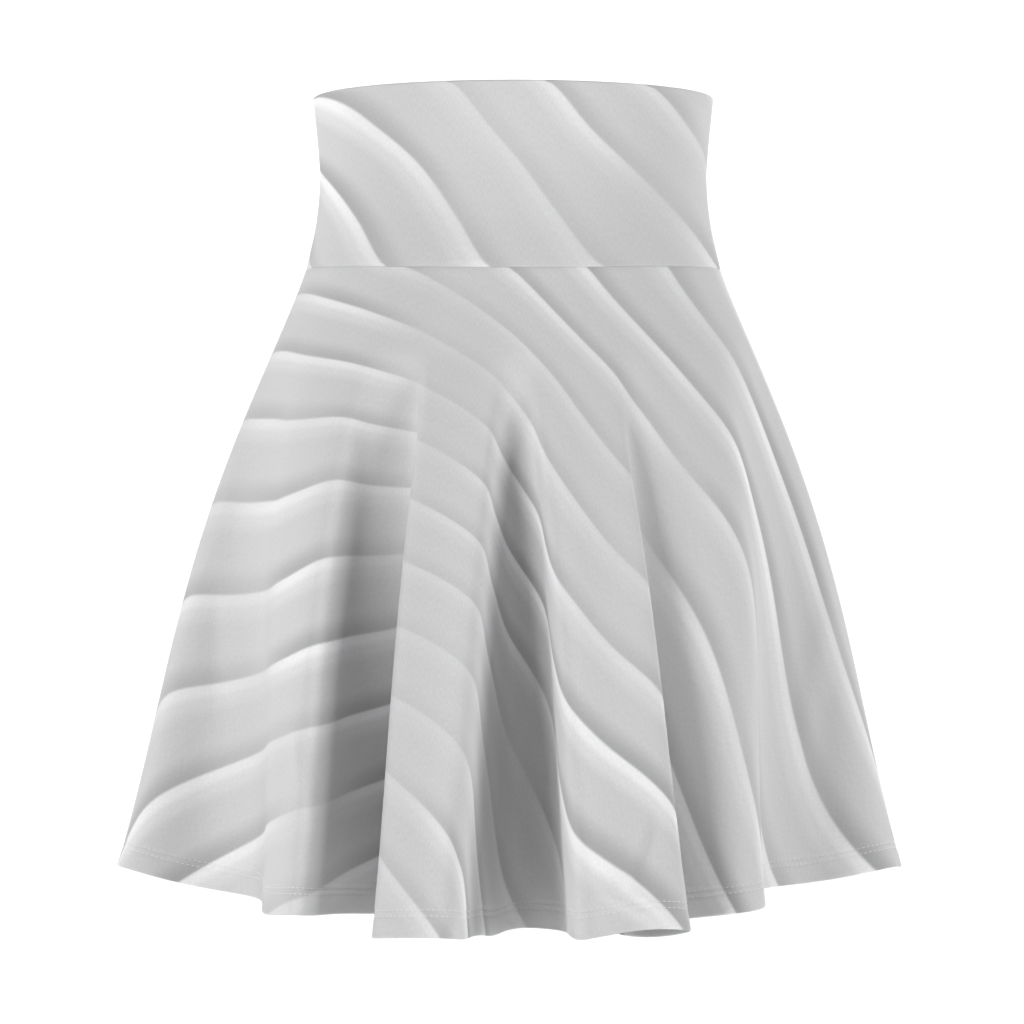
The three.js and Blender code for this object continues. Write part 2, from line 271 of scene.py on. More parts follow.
def fold_places(share):
    """Where each fold line passes at a share of the skirt's length, in plan."""
    top = np.radians([fold.top for fold in FOLDS])
    hem = np.radians([fold.hem for fold in FOLDS])
    reach = np.array([fold.reach for fold in FOLDS])
    seam = oval_point(SEAM_OVAL.half_width, SEAM_OVAL.front, SEAM_OVAL.back, top)
    flare = oval_point(HEM_OVAL.half_width, HEM_OVAL.front, HEM_OVAL.back, top) - seam
    place = np.stack([reach * np.sin(hem), -reach * np.cos(hem)], axis=1)
    return mixed(seam, place, fold_at(share)) + flare * (flare_at(share) - fold_at(share))


def section(share):
    places = fold_places(share)
    side = RIGHT_SIDE / len(FOLDS)
    front = even_points(places, 0, side, PANEL_SAMPLES)
    back = even_points(places, side, 1, PANEL_SAMPLES)
    return smooth_ring(np.concatenate([front, back]), FOLD_SOFTNESS)


def cloth_drops(hem):
    """How much longer than SKIRT_LENGTH the cloth is at each sample of the hem."""
    gaps = np.linalg.norm(hem[:, None] - fold_places(1.0)[None], axis=2)
    drops = np.array([fold.drop for fold in FOLDS], float)
    return smooth_ring(drops[gaps.argmin(axis=1)], DROP_SOFTNESS)


def seam_height(x):
    return SEAM_OVAL.height - SEAM_DIP * (1 - (x / SEAM_OVAL.half_width) ** 2)


def grid_normals(grid):
    """Outward normals and downward directions of a grid of rows down and samples round the ring."""
    down = unit(np.gradient(grid, axis=0))
    across = unit(np.roll(grid, -1, axis=1) - np.roll(grid, 1, axis=1))
    return unit(np.cross(down, across)), down


def skirt_grid():
    """The skirt's outer face: rows from the yoke seam to the hem, samples round from the left side seam."""
    sections = np.stack([section(k / LENGTH_STEPS) for k in range(LENGTH_STEPS + 1)])
    step = (SKIRT_LENGTH + cloth_drops(sections[-1])) / LENGTH_STEPS
    across = np.linalg.norm(np.diff(sections, axis=0), axis=2)
    falls = np.cumsum(np.sqrt(step ** 2 - across ** 2), axis=0)
    top = seam_height(sections[0, :, 0])
    heights = np.concatenate([top[None], top - falls])
    return np.concatenate([sections, heights[:, :, None]], axis=2)


def yoke_grid(seam):
    """The yoke's outer face: rows from the top edge down to the seam, over the seam's samples."""
    depth = np.where(seam[:, 1] < 0, SEAM_OVAL.front, SEAM_OVAL.back)
    angle = np.arctan2(seam[:, 0] / SEAM_OVAL.half_width, -seam[:, 1] / depth)
    last = len(YOKE_RINGS) - 1
    rows = []
    for share in np.linspace(0, 1, YOKE_STEPS + 1):
        k = min(int(share * last), last - 1)
        near = [YOKE_RINGS[min(max(k + n, 0), last)] for n in (-1, 0, 1, 2)]
        height, half_width, front, back = (catmull(*values, share * last - k) for values in zip(*near))
        plan = oval_point(half_width, front, back, angle)
        rise = height + (seam_height(seam[:, 0]) - SEAM_OVAL.height) * share ** 2
        rows.append(np.concatenate([plan, rise[:, None]], axis=1))
    return np.stack(rows)


def panel_length(ring):
    """The length of one panel along a ring, half the way round."""
    return np.linalg.norm(ring - np.roll(ring, 1, axis=0), axis=1).sum() / 2


def crease_depths(share, width):
    """How far the skirt is pushed out by its creases round the ring, at a share of its length."""
    ring = np.arange(RING_SAMPLES) / PANEL_SAMPLES
    out = np.zeros(RING_SAMPLES)
    for crease in CREASES:
        x = (ring - crease.along) * width
        y = (share - crease.down) * SKIRT_LENGTH
        lean = math.radians(crease.lean)
        along = x * math.sin(lean) + y * math.cos(lean)
        aside = x * math.cos(lean) - y * math.sin(lean)
        fade = np.exp(-(2 * along / crease.length) ** 4)
        out += crease.depth * fade * np.exp(-(aside / crease.width) ** 2)
    return out


def stitched_depths(share, width):
    """How far the hem's two rows of stitches draw the cloth in, with the small puckers between them."""
    above = (1 - share) * SKIRT_LENGTH
    along = np.arange(RING_SAMPLES) / PANEL_SAMPLES * width / PUCKER_PITCH
    wave = np.sin(2 * math.pi * along) * np.sin(PUCKER_DRIFT * along)
    out = PUCKER * wave * math.exp(-((above - HEM_MIDDLE) / PUCKER_REACH) ** 2)
    for row in HEM_ROWS:
        out = out - ROW_GROOVE * math.exp(-((above - row) / GROOVE_WIDTH) ** 2)
    return out


class Cloth:
    """A face of cloth as a grid, with its normals, read at a share of its length."""

    def __init__(self, grid, length):
        self.grid = grid
        self.length = length
        self.normals, self.downs = grid_normals(grid)

    def at(self, share):
        """Points, normals and downward directions round the ring at a share of the length."""
        place = min(max(share, 0.0), 1.0) * (len(self.grid) - 1)
        k = min(int(place), len(self.grid) - 2)
        blend = [mixed(a[k], a[k + 1], place - k) for a in (self.grid, self.normals, self.downs)]
        return blend[0], unit(blend[1]), unit(blend[2])


SKIRT = Cloth(skirt_grid(), SKIRT_LENGTH)
YOKE = Cloth(yoke_grid(SKIRT.grid[0]), YOKE_RINGS[0].height - YOKE_RINGS[-1].height)


def skirt_face(share, stitched):
    """The skirt's face with its creases, at a share of its length, drawn in by the hem's stitches or not."""
    points, normals, downs = SKIRT.at(share)
    width = panel_length(points)
    depths = crease_depths(share, width)
    if stitched:
        depths = depths + stitched_depths(share, width)
    return points + normals * depths[:, None], normals, downs


def seam_frame():
    """The normal and downward direction that yoke and skirt share where they are sewn together."""
    seam = SKIRT.grid[0]
    across = np.roll(seam, -1, axis=0) - np.roll(seam, 1, axis=0)
    level = unit(np.stack([across[:, 1], -across[:, 0], np.zeros(RING_SAMPLES)], axis=1))
    up = np.array([0.0, 0.0, 1.0])
    normal = level * math.cos(SEAM_FLARE) + up * math.sin(SEAM_FLARE)
    down = level * math.sin(SEAM_FLARE) - up * math.cos(SEAM_FLARE)
    return normal, down


# One row of a cloth piece: its points and face normals round the ring, its place along the flat cut, and how
# far its edges go in at the side seams.
Row = namedtuple("Row", "points normals cut tuck")


def skirt_rows():
    """The skirt's cloth from its allowance at the yoke, down the outside, round the hem and up inside."""
    normal, down = seam_frame()
    seam = SKIRT.grid[0] + down * SEAM_GAP / 2
    centre = seam + down * ROLL - normal * ROLL
    rows = []
    side = normal * math.cos(math.pi / 2 + SEAM_LEAN) - down * math.sin(math.pi / 2 + SEAM_LEAN)
    inward = -normal * math.cos(SEAM_LEAN) + down * math.sin(SEAM_LEAN)
    for part in ALLOWANCE_PARTS:
        reach = ALLOWANCE * part
        rows.append(Row(centre + side * ROLL + inward * reach, side, -reach - ROLL, TUCKED))
    for phi in np.linspace(math.pi / 2 + SEAM_LEAN, 0, ARC_STEPS + 1):
        face = normal * math.cos(phi) - down * math.sin(phi)
        rows.append(Row(centre + face * ROLL, face, -ROLL * phi, TUCKED))
    hem_roll = HEM_THICK / 2
    hem_start = 1 - HEM_DEPTH / SKIRT_LENGTH
    lines = [1 - height / SKIRT_LENGTH for height in HEM_LINES]
    shares = [k / LENGTH_STEPS for k in range(1, LENGTH_STEPS)]
    shares = [share for share in shares if share < lines[0] - 0.5 / LENGTH_STEPS] + lines
    for share in shares:
        points, normals, _ = skirt_face(share, True)
        near_yoke = min(1.0, share * SKIRT_LENGTH / TUCK_FADE)
        clear_of_hem = min(1.0, max(0.0, (hem_start - share) * SKIRT_LENGTH / HEM_FADE))
        tuck = TUCKED + (ALLOWANCE - TUCKED) * min(near_yoke, clear_of_hem)
        rows.append(Row(points, normals, share * SKIRT_LENGTH, tuck))
    points, normals, downs = skirt_face(1.0, False)
    centre = points - (normals + downs) * hem_roll
    for phi in np.linspace(0, math.pi, 2 * ARC_STEPS + 1)[1:]:
        face = normals * math.cos(phi) + downs * math.sin(phi)
        rows.append(Row(centre + face * hem_roll, face, SKIRT_LENGTH + hem_roll * (phi - 1), TUCKED))
    for share in np.linspace(lines[-1], hem_start, TURNED_ROWS + 1)[1:]:
        points, normals, _ = skirt_face(share, False)
        turned = points - normals * HEM_THICK
        rows.append(Row(turned, -normals, SKIRT_LENGTH * (2 - share) + hem_roll, TUCKED))
    return rows


def yoke_rows():
    """The yoke's cloth from its allowance, up the outside, over the top edge and down inside to the seam."""
    normal, down = seam_frame()
    seam = SKIRT.grid[0] - down * SEAM_GAP / 2
    inward = -normal * math.cos(SEAM_LEAN) + down * math.sin(SEAM_LEAN)
    upward = -down * math.cos(SEAM_LEAN) - normal * math.sin(SEAM_LEAN)
    layers = YOKE_THICK / 2
    rows = []
    for part in ALLOWANCE_PARTS:
        reach = ALLOWANCE * part
        points = seam + inward * reach + upward * (SEAM_GAP + 3 * ROLL + YOKE_LIFT)
        rows.append(Row(points, upward, -YOKE.length * 2 - reach, TUCKED))
    for share in np.linspace(INNER_LAYER_END, 0.0, YOKE_STEPS):
        points, normals, downs = YOKE.at(share)
        cut = -YOKE.length * (1 + share) - layers
        lifted = points - normals * YOKE_THICK + downs * max(0.0, layers - share * YOKE.length)
        rows.append(Row(lifted, -normals, cut, TUCKED))
    points, normals, downs = YOKE.at(0.0)
    centre = points - normals * layers + downs * layers
    for phi in np.linspace(math.pi, 0, 2 * ARC_STEPS + 1)[1:]:
        face = normals * math.cos(phi) - downs * math.sin(phi)
        rows.append(Row(centre + face * layers, face, -YOKE.length - layers * phi, TUCKED))
    for share in np.linspace(0.0, 1.0, YOKE_STEPS + 1)[1:-1]:
        points, normals, _ = YOKE.at(share)
        rows.append(Row(points, normals, -YOKE.length * (1 - share), TUCKED))
    centre = seam - down * ROLL - normal * ROLL
    for phi in np.linspace(0, math.pi / 2 - SEAM_LEAN, ARC_STEPS + 1):
        face = normal * math.cos(phi) + down * math.sin(phi)
        rows.append(Row(centre + face * ROLL, face, ROLL * (phi - 1), TUCKED))
    side = normal * math.sin(SEAM_LEAN) + down * math.cos(SEAM_LEAN)
    for part in reversed(ALLOWANCE_PARTS):
        reach = ALLOWANCE * part
        rows.append(Row(centre + side * ROLL + inward * reach, side, reach, TUCKED))
    return rows


def side_edge(row, column, inwards, lean):
    """The points where a row's edge turns in at a side seam, from its free end to the panel's face, how far
    each lies beyond the seam, and the normal of the part turned in."""
    point = row.points[column % RING_SAMPLES]
    normal = row.normals[column % RING_SAMPLES]
    ahead = row.points[(column + 1) % RING_SAMPLES] - row.points[(column - 1) % RING_SAMPLES]
    across = unit(ahead) * inwards
    across = unit(across - normal * np.dot(across, normal))
    edge = point + across * SEAM_GAP / 2
    centre = edge + (across - normal) * ROLL
    turn = math.pi / 2 + lean
    face = normal * math.cos(turn) - across * math.sin(turn)
    inward = -normal * math.sin(turn) - across * math.cos(turn)
    turns = np.linspace(turn, 0, ARC_STEPS + 1)
    free = [centre + face * ROLL + inward * row.tuck * part for part in (1.0, 0.5)]
    arc = [centre + ROLL * (normal * math.cos(a) - across * math.sin(a)) for a in turns]
    beyond = [row.tuck * part + ROLL * turn for part in (1.0, 0.5)]
    beyond += list(ROLL * turns)
    return np.array(free + arc), np.array(beyond) - ROLL, face


def sector_cut(cut, across, beyond):
    """Flat coordinates of a skirt panel's cloth, which is cut as a sector of a ring."""
    seam_length = panel_length(SKIRT.grid[0])
    spread = (panel_length(SKIRT.grid[-1]) - seam_length) / SKIRT_LENGTH
    radius = seam_length / spread + cut
    angle = (across - 0.5) * spread + beyond / radius
    return np.stack([radius * np.sin(angle), -radius * np.cos(angle)], axis=-1)


def band_cut(cut, across, beyond):
    """Flat coordinates of a yoke panel's cloth, which is cut as a nearly straight band."""
    width = panel_length(YOKE.grid[0])
    return np.stack([(across - 0.5) * width + beyond, np.full(len(across), -cut)], axis=-1)


def panel_grid(rows, first, step, flat_of, leans):
    """A panel's points and flat coordinates, row by row, with its edges turned in at both side seams."""
    inner = np.arange(first + step, first + PANEL_SAMPLES, step)
    across = (inner - first) / PANEL_SAMPLES
    points = []
    cuts = []
    for row in rows:
        left, left_beyond, _ = side_edge(row, first, 1, leans[0])
        right, right_beyond, _ = side_edge(row, first + PANEL_SAMPLES, -1, leans[1])
        points.append(np.concatenate([left, row.points[inner % RING_SAMPLES], right[::-1]]))
        share = np.concatenate([np.zeros(len(left)), across, np.ones(len(right))])
        beyond = np.concatenate([-left_beyond, np.zeros(len(inner)), right_beyond[::-1]])
        cuts.append(flat_of(row.cut, share, beyond))
    return np.array(points), np.array(cuts)


def cloth_object(name, points, cuts, context):
    """A sheet of cloth: a grid primitive laid over the points, with its flat cut as UVs. Its thickness goes
    inwards, and the face that this makes is the wrong side."""
    high, wide = points.shape[:2]
    bpy.ops.object.select_all(action="DESELECT")
    steps = {"x_subdivisions": wide - 1, "y_subdivisions": high - 1}
    bpy.ops.mesh.primitive_grid_add(**steps, size=2, location=(0, 0, 0))
    piece = bpy.context.object
    piece.name = name
    mesh = piece.data
    mesh.name = name
    flat = np.empty(len(mesh.vertices) * 3)
    mesh.vertices.foreach_get("co", flat)
    flat = flat.reshape(-1, 3)
    column = np.rint((flat[:, 0] + 1) / 2 * (wide - 1)).astype(int)
    row = np.rint((1 - flat[:, 1]) / 2 * (high - 1)).astype(int)
    mesh.vertices.foreach_set("co", (points[row, column] * MM).ravel())
    corners = np.empty(len(mesh.loops), int)
    mesh.loops.foreach_get("vertex_index", corners)
    mesh.uv_layers[0].name = "cut"
    mesh.uv_layers[0].data.foreach_set("uv", (cuts[row[corners], column[corners]] * MM).ravel())
    mesh.update()
    colours = context.scene.skirt_colours
    mesh.materials.append(material_named("printed_knit", printed_knit, colours))
    mesh.materials.append(material_named("knit_wrong_side", plain_knit, colours))
    solidify = piece.modifiers.new("Thickness", "SOLIDIFY")
    solidify.thickness = context.scene.skirt_sizes.thickness
    solidify.offset = -1
    solidify.material_offset = 1
    solidify.material_offset_rim = 1
    bpy.ops.object.modifier_apply(modifier=solidify.name)
    bpy.ops.object.shade_smooth()
    return piece


def stitch_shape(thread):
    """One stitch, a short length of thread that tapers into the cloth at both ends, one unit long."""
    bpy.ops.object.select_all(action="DESELECT")
    steps = {"segments": STITCH_SIDES, "ring_count": STITCH_RINGS}
    bpy.ops.mesh.primitive_uv_sphere_add(**steps, radius=0.5, location=(0, 0, 0))
    stitch = bpy.context.object
    corners = np.array([vertex.co[:] for vertex in stitch.data.vertices])
    faces = [list(polygon.vertices) for polygon in stitch.data.polygons]
    bpy.data.objects.remove(stitch)
    return np.stack([corners[:, 2], corners[:, 0] * thread, corners[:, 1] * thread], axis=1), faces


def laid_along(path, normals, pitch, length, thread, slant=0.0):
    """Stitches laid one after another along a path, each slanting the other way from the last."""
    shape, faces = stitch_shape(thread)
    steps = np.linalg.norm(np.diff(path, axis=0), axis=1)
    travelled = np.concatenate([[0], np.cumsum(steps)])
    ahead = unit(np.gradient(path, axis=0))
    aside = np.cross(normals, ahead)
    middles = np.arange(pitch / 2, travelled[-1] - pitch / 2, pitch)
    turn = np.where(np.arange(len(middles)) % 2, -slant, slant)
    place = (middles[:, None] + shape[None, :, 0] * length).ravel()
    across = (shape[None, :, 1] + turn[:, None] * shape[None, :, 0]).ravel()
    out = np.tile(shape[:, 2], len(middles))
    at, side, up = (np.stack([np.interp(place, travelled, a[:, n]) for n in range(3)], axis=1)
                    for a in (path, aside, normals))
    corners = at + side * across[:, None] + up * out[:, None]
    joined = [[k * len(shape) + corner for corner in face] for k in range(len(middles)) for face in faces]
    return corners, joined


def stitching(name, runs, context):
    """One piece from several runs of stitches."""
    corners, faces = [], []
    for points, joined in runs:
        start = sum(len(done) for done in corners)
        corners.append(points)
        faces += [[start + corner for corner in face] for face in joined]
    mesh = bpy.data.meshes.new(name)
    mesh.from_pydata((np.concatenate(corners) * MM).tolist(), [], faces)
    piece = bpy.data.objects.new(name, mesh)
    context.scene.collection.objects.link(piece)
    bpy.ops.object.select_all(action="DESELECT")
    piece.select_set(True)
    context.view_layer.objects.active = piece
    bpy.ops.object.shade_smooth()
    mesh.materials.append(material_named("thread", spun_thread, context.scene.skirt_colours))
    dress(piece)
    return piece


def grey(value):
    return (value, value, value * 1.005, 1)


def new_material(name):
    material = bpy.data.materials.new(name)
    material.use_nodes = True
    nodes = material.node_tree.nodes
    return material, nodes, material.node_tree.links, nodes["Principled BSDF"]


def math_node(nodes, links, operation, first, second=None):
    """A Math node fed by sockets or numbers."""
    node = nodes.new("ShaderNodeMath")
    node.operation = operation
    for socket, value in zip(node.inputs, (first, second)):
        if isinstance(value, (int, float)):
            socket.default_value = value
        elif value is not None:
            links.new(value, socket)
    return node.outputs[0]


def knit_bump(nodes, links, shader, coordinates, strength):
    """The fine columns of a jersey knit, and a slight unevenness, as bump."""
    wales = nodes.new("ShaderNodeTexNoise")
    wales.inputs["Scale"].default_value = 1.0
    wales.inputs["Detail"].default_value = 2.0
    stretch = nodes.new("ShaderNodeMapping")
    stretch.inputs["Scale"].default_value = KNIT_SCALE
    links.new(coordinates, stretch.inputs["Vector"])
    links.new(stretch.outputs[0], wales.inputs["Vector"])
    bump = nodes.new("ShaderNodeBump")
    bump.inputs["Strength"].default_value = strength
    bump.inputs["Distance"].default_value = KNIT_RELIEF
    links.new(wales.outputs["Fac"], bump.inputs["Height"])
    links.new(bump.outputs[0], shader.inputs["Normal"])
    return wales.outputs["Fac"]


def finish_cloth(shader):
    shader.inputs["Roughness"].default_value = 0.82
    shader.inputs["Specular IOR Level"].default_value = 0.25
    shader.inputs["Sheen Weight"].default_value = 0.12
    shader.inputs["Sheen Roughness"].default_value = 0.5


def noise_node(nodes, links, coordinates, scale, detail=0.0):
    """A Noise Texture on the flat cut, which gives about 0.5 on average."""
    noise = nodes.new("ShaderNodeTexNoise")
    noise.inputs["Scale"].default_value = scale
    noise.inputs["Detail"].default_value = detail
    links.new(coordinates, noise.inputs["Vector"])
    return noise.outputs["Fac"]


def ramp_node(nodes, links, value, stops):
    """A Color Ramp of greys at the given positions."""
    ramp = nodes.new("ShaderNodeValToRGB")
    ramp.color_ramp.interpolation = "EASE"
    elements = ramp.color_ramp.elements
    elements[0].position, elements[1].position = stops[0][0], stops[-1][0]
    elements[0].color, elements[1].color = grey(stops[0][1]), grey(stops[-1][1])
    for position, shade in stops[1:-1]:
        elements.new(position).color = grey(shade)
    links.new(value, ramp.inputs["Fac"])
    return ramp.outputs["Color"]


def printed_knit(colours):
    """Knit printed all over with soft bands that sweep across the flat cut in uneven waves."""
    material, nodes, links, shader = new_material("printed_knit")
    finish_cloth(shader)
    cut = nodes.new("ShaderNodeUVMap")
    cut.uv_map = "cut"
    parts = nodes.new("ShaderNodeSeparateXYZ")
    links.new(cut.outputs[0], parts.inputs[0])
    x, y = parts.outputs[0], parts.outputs[1]
    swell = math_node(nodes, links, "SINE", math_node(nodes, links, "MULTIPLY", x, SWELL_RATE))
    swell = math_node(nodes, links, "MULTIPLY", swell, SWELL_DEPTH)
    drift = noise_node(nodes, links, cut.outputs[0], DRIFT_SCALE)
    drift = math_node(nodes, links, "MULTIPLY", drift, DRIFT_DEPTH)
    slope = math_node(nodes, links, "MULTIPLY", x, BAND_SLOPE)
    level = math_node(nodes, links, "ADD", math_node(nodes, links, "ADD", y, slope), swell)
    level = math_node(nodes, links, "ADD", level, drift)
    bands = math_node(nodes, links, "FRACT", math_node(nodes, links, "MULTIPLY", level, BANDS))
    stops = ((0.0, colours.shade), (0.3, colours.ground), (0.6, colours.ground), (0.78, colours.light),
             (0.9, colours.crest), (0.955, colours.crest), (1.0, colours.shade))
    printed = ramp_node(nodes, links, bands, stops)
    strength = nodes.new("ShaderNodeMapRange")
    strength.inputs["From Min"].default_value = FADE_RANGE[0]
    strength.inputs["From Max"].default_value = FADE_RANGE[1]
    strength.inputs["To Min"].default_value = FADE_LEAST
    links.new(noise_node(nodes, links, cut.outputs[0], FADE_SCALE, 1.0), strength.inputs["Value"])
    mix = nodes.new("ShaderNodeMix")
    mix.data_type = "RGBA"
    links.new(strength.outputs[0], mix.inputs["Factor"])
    mix.inputs["A"].default_value = grey(colours.ground)
    links.new(printed, mix.inputs["B"])
    columns = knit_bump(nodes, links, shader, cut.outputs[0], 0.45)
    mottled = nodes.new("ShaderNodeMix")
    mottled.data_type = "RGBA"
    mottled.blend_type = "MULTIPLY"
    mottled.inputs["Factor"].default_value = 1.0
    links.new(mix.outputs["Result"], mottled.inputs["A"])
    links.new(ramp_node(nodes, links, columns, ((0.32, 0.93), (0.68, 1.0))), mottled.inputs["B"])
    links.new(mottled.outputs["Result"], shader.inputs["Base Color"])
    return material


def plain_knit(colours):
    """The unprinted wrong side of the knit."""
    material, nodes, links, shader = new_material("knit_wrong_side")
    finish_cloth(shader)
    shader.inputs["Base Color"].default_value = grey(colours.wrong_side)
    cut = nodes.new("ShaderNodeUVMap")
    cut.uv_map = "cut"
    knit_bump(nodes, links, shader, cut.outputs[0], 0.35)
    return material


def spun_thread(colours):
    """Spun polyester sewing thread, with a faint twist."""
    material, nodes, links, shader = new_material("thread")
    shader.inputs["Roughness"].default_value = 0.6
    place = nodes.new("ShaderNodeTexCoord")
    twist = noise_node(nodes, links, place.outputs["Object"], TWIST_SCALE, 1.0)
    stops = ((0.3, colours.thread * 0.9), (0.7, colours.thread))
    links.new(ramp_node(nodes, links, twist, stops), shader.inputs["Base Color"])
    bump = nodes.new("ShaderNodeBump")
    bump.inputs["Strength"].default_value = 0.3
    bump.inputs["Distance"].default_value = TWIST_RELIEF
    links.new(twist, bump.inputs["Height"])
    links.new(bump.outputs[0], shader.inputs["Normal"])
    return material


def dress(piece, *nodes):
    """Attach a piece to the root body, and hide the solids that it stands for."""
    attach(piece, "root")
    if nodes:
        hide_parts(*nodes)


def material_named(name, make, colours):
    return bpy.data.materials.get(name) or make(colours)


class SkirtSizes(bpy.types.PropertyGroup):
    thickness: FloatProperty(
        name="Cloth", description="Thickness of one layer of the knit", default=0.55 * MM, unit="LENGTH")
    thread: FloatProperty(
        name="Thread", description="Thickness of the sewing thread", default=0.32 * MM, unit="LENGTH")
    stitch: FloatProperty(
        name="Stitch", description="Length of one stitch of the hem", default=3.0 * MM, unit="LENGTH")


class SkirtColours(bpy.types.PropertyGroup):
    shade: FloatProperty(name="Shade", description="Darkest grey of the print", default=0.43, min=0, max=1)
    ground: FloatProperty(name="Ground", description="Ground grey of the print", default=0.645, min=0, max=1)
    light: FloatProperty(name="Light", description="Light grey of the print", default=0.76, min=0, max=1)
    crest: FloatProperty(name="Crest", description="Lightest line of the print", default=0.92, min=0, max=1)
    wrong_side: FloatProperty(
        name="Wrong side", description="Grey of the unprinted side", default=0.72, min=0, max=1)
    thread: FloatProperty(name="Thread", description="Grey of the sewing thread", default=0.9, min=0, max=1)


def skirt_panel(context, name, node, first, leans):
    points, cuts = panel_grid(skirt_rows(), first, 1, sector_cut, leans)
    piece = cloth_object(name, points, cuts, context)
    dress(piece, node)
    size = np.ptp(cuts, axis=(0, 1)) * MM
    seam = panel_length(SKIRT.grid[0]) * MM
    hem = panel_length(SKIRT.grid[-1]) * MM
    area = (seam + hem) / 2 * SKIRT_LENGTH * MM + hem * HEM_DEPTH * MM + seam * ALLOWANCE * MM
    return piece, tuple(size), area


def yoke_panel(context, name, node, first):
    points, cuts = panel_grid(yoke_rows(), first, YOKE_COLUMN_STEP, band_cut, (0, 0))
    piece = cloth_object(name, points, cuts, context)
    dress(piece, node)
    width = (panel_length(YOKE.grid[0]) + panel_length(YOKE.grid[-1])) / 2 * MM
    return piece, (width, (2 * YOKE.length + 2 * ALLOWANCE) * MM)


def run_along(points, normals, first, edge):
    """A path over one panel's samples, kept clear of the side seams, with its normals."""
    around = np.arange(first + edge, first + PANEL_SAMPLES - edge + 1) % RING_SAMPLES
    return points[around], normals[around]


def hem_stitching(context, name, first):
    """The twin needle's two rows on the outside, and the thread that zigzags between them on the inside."""
    sizes = context.scene.skirt_sizes
    thread, pitch = sizes.thread / MM, sizes.stitch / MM
    runs = []
    for height in HEM_ROWS:
        points, normals, _ = skirt_face(1 - height / SKIRT_LENGTH, True)
        path, out = run_along(points + normals * thread * PROUD, normals, first, 1)
        runs.append(laid_along(path, out, pitch, pitch * NEEDLE_SHARE, thread * NEEDLE_LOFT))
    rows = stitching(name + "_needle_rows", runs, context)
    points, normals, _ = skirt_face(1 - HEM_MIDDLE / SKIRT_LENGTH, False)
    inside = points - normals * (HEM_THICK + thread * PROUD)
    path, out = run_along(inside, -normals, first, 1)
    width = (HEM_ROWS[0] - HEM_ROWS[1]) * LOOPER_WIDTH
    slanting = laid_along(path, out, pitch / 2, pitch * LOOPER_SHARE, thread, width)
    looper = stitching(name + "_looper", [slanting], context)
    return [rows, looper]


def overlocked(context, free, half, out, shown):
    """The overlock thread along a cut edge: a zigzag on the side that shows, and loops over the edge."""
    thread = context.scene.skirt_sizes.thread / MM
    cloth = context.scene.skirt_sizes.thickness / MM
    reach = unit(free - half)
    lift = thread * PROUD if shown > 0 else -cloth - thread * PROUD
    middle = free - reach * OVERLOCK_WIDTH / 2 + out * lift
    edge = free + reach * thread * PROUD - out * cloth / 2
    gap = OVERLOCK_PITCH / 2
    zigzag = laid_along(middle, out * shown, gap, OVERLOCK_PITCH * OVERLOCK_SHARE, thread, OVERLOCK_WIDTH)
    loops = laid_along(edge, reach, gap, OVERLOCK_PITCH * LOOP_SHARE, thread, cloth * 2)
    return [zigzag, loops]


def side_overlock(context, name, column, edges):
    """The overlock thread on both layers of a side seam's allowance."""
    rows = [row for row in skirt_rows() if row.tuck > ALLOWANCE - 0.01]
    runs = []
    for inwards, lean in edges:
        found = [side_edge(row, column, inwards, lean) for row in rows]
        free = np.array([points[0] for points, _, _ in found])
        half = np.array([points[1] for points, _, _ in found])
        out = np.array([face for _, _, face in found])
        runs += overlocked(context, free, half, out, -1)
    return stitching(name, runs, context)


def waist_overlock(context, name):
    """The overlock thread on the lowest and the highest layer of the waist seam's allowance."""
    runs = []
    for rows, shown in ((skirt_rows(), -1), (yoke_rows(), 1)):
        for first in (0, PANEL_SAMPLES):
            free, out = run_along(rows[0].points, rows[0].normals, first, 2)
            half, _ = run_along(rows[1].points, rows[1].normals, first, 2)
            runs += overlocked(context, free, half, out, shown)
    return stitching(name, runs, context)


class SKIRT_OT_seams(bpy.types.Operator):
    """Make the overlock threads on the allowances of the waist seam and of both side seams"""

    bl_idname = "skirt.seams"
    bl_label = "Seams"

    def execute(self, context):
        waist_overlock(context, "waist_overlock")
        side_overlock(context, "left_side_overlock", 0, ((1, -SEAM_LEAN), (-1, SEAM_LEAN)))
        side_overlock(context, "right_side_overlock", PANEL_SAMPLES, ((-1, -SEAM_LEAN), (1, SEAM_LEAN)))
        return {"FINISHED"}


class SKIRT_OT_yoke(bpy.types.Operator):
    """Make the two panels of the yoke, each folded double over its top edge"""

    bl_idname = "skirt.yoke"
    bl_label = "Yoke"

    def execute(self, context):
        for name, first in (("yoke_front", 0), ("yoke_back", PANEL_SAMPLES)):
            piece, size = yoke_panel(context, name + "_cloth", name, first)
        return {"FINISHED"}


class SKIRT_OT_panels(bpy.types.Operator):
    """Make the two flared panels of the skirt with their turned-up and stitched hem"""

    bl_idname = "skirt.panels"
    bl_label = "Skirt panels"

    def execute(self, context):
        for name, first, lean in (("skirt_front", 0, -SEAM_LEAN), ("skirt_back", PANEL_SAMPLES, SEAM_LEAN)):
            piece, size, area = skirt_panel(context, name + "_cloth", name, first, (lean, lean))
            threads = hem_stitching(context, name, first)
        return {"FINISHED"}


# The stage: the camera stands straight ahead, level with the middle of the photograph.
CAMERA_DISTANCE = 1.9
PIXEL = 0.000588  # size of one pixel of the photograph at the skirt's axis
PICTURE = 1024
AXIS_COLUMN = 513.3
WAIST_ROW = 183
SENSOR = 36
FLOOR_HEIGHT = -1.0
FLOOR_REACH = 6.0
SWEEP_START = 2.4
WALL_PLACE = 3.6
WALL_TOP = 4.0
SWEEP_STEPS = 12


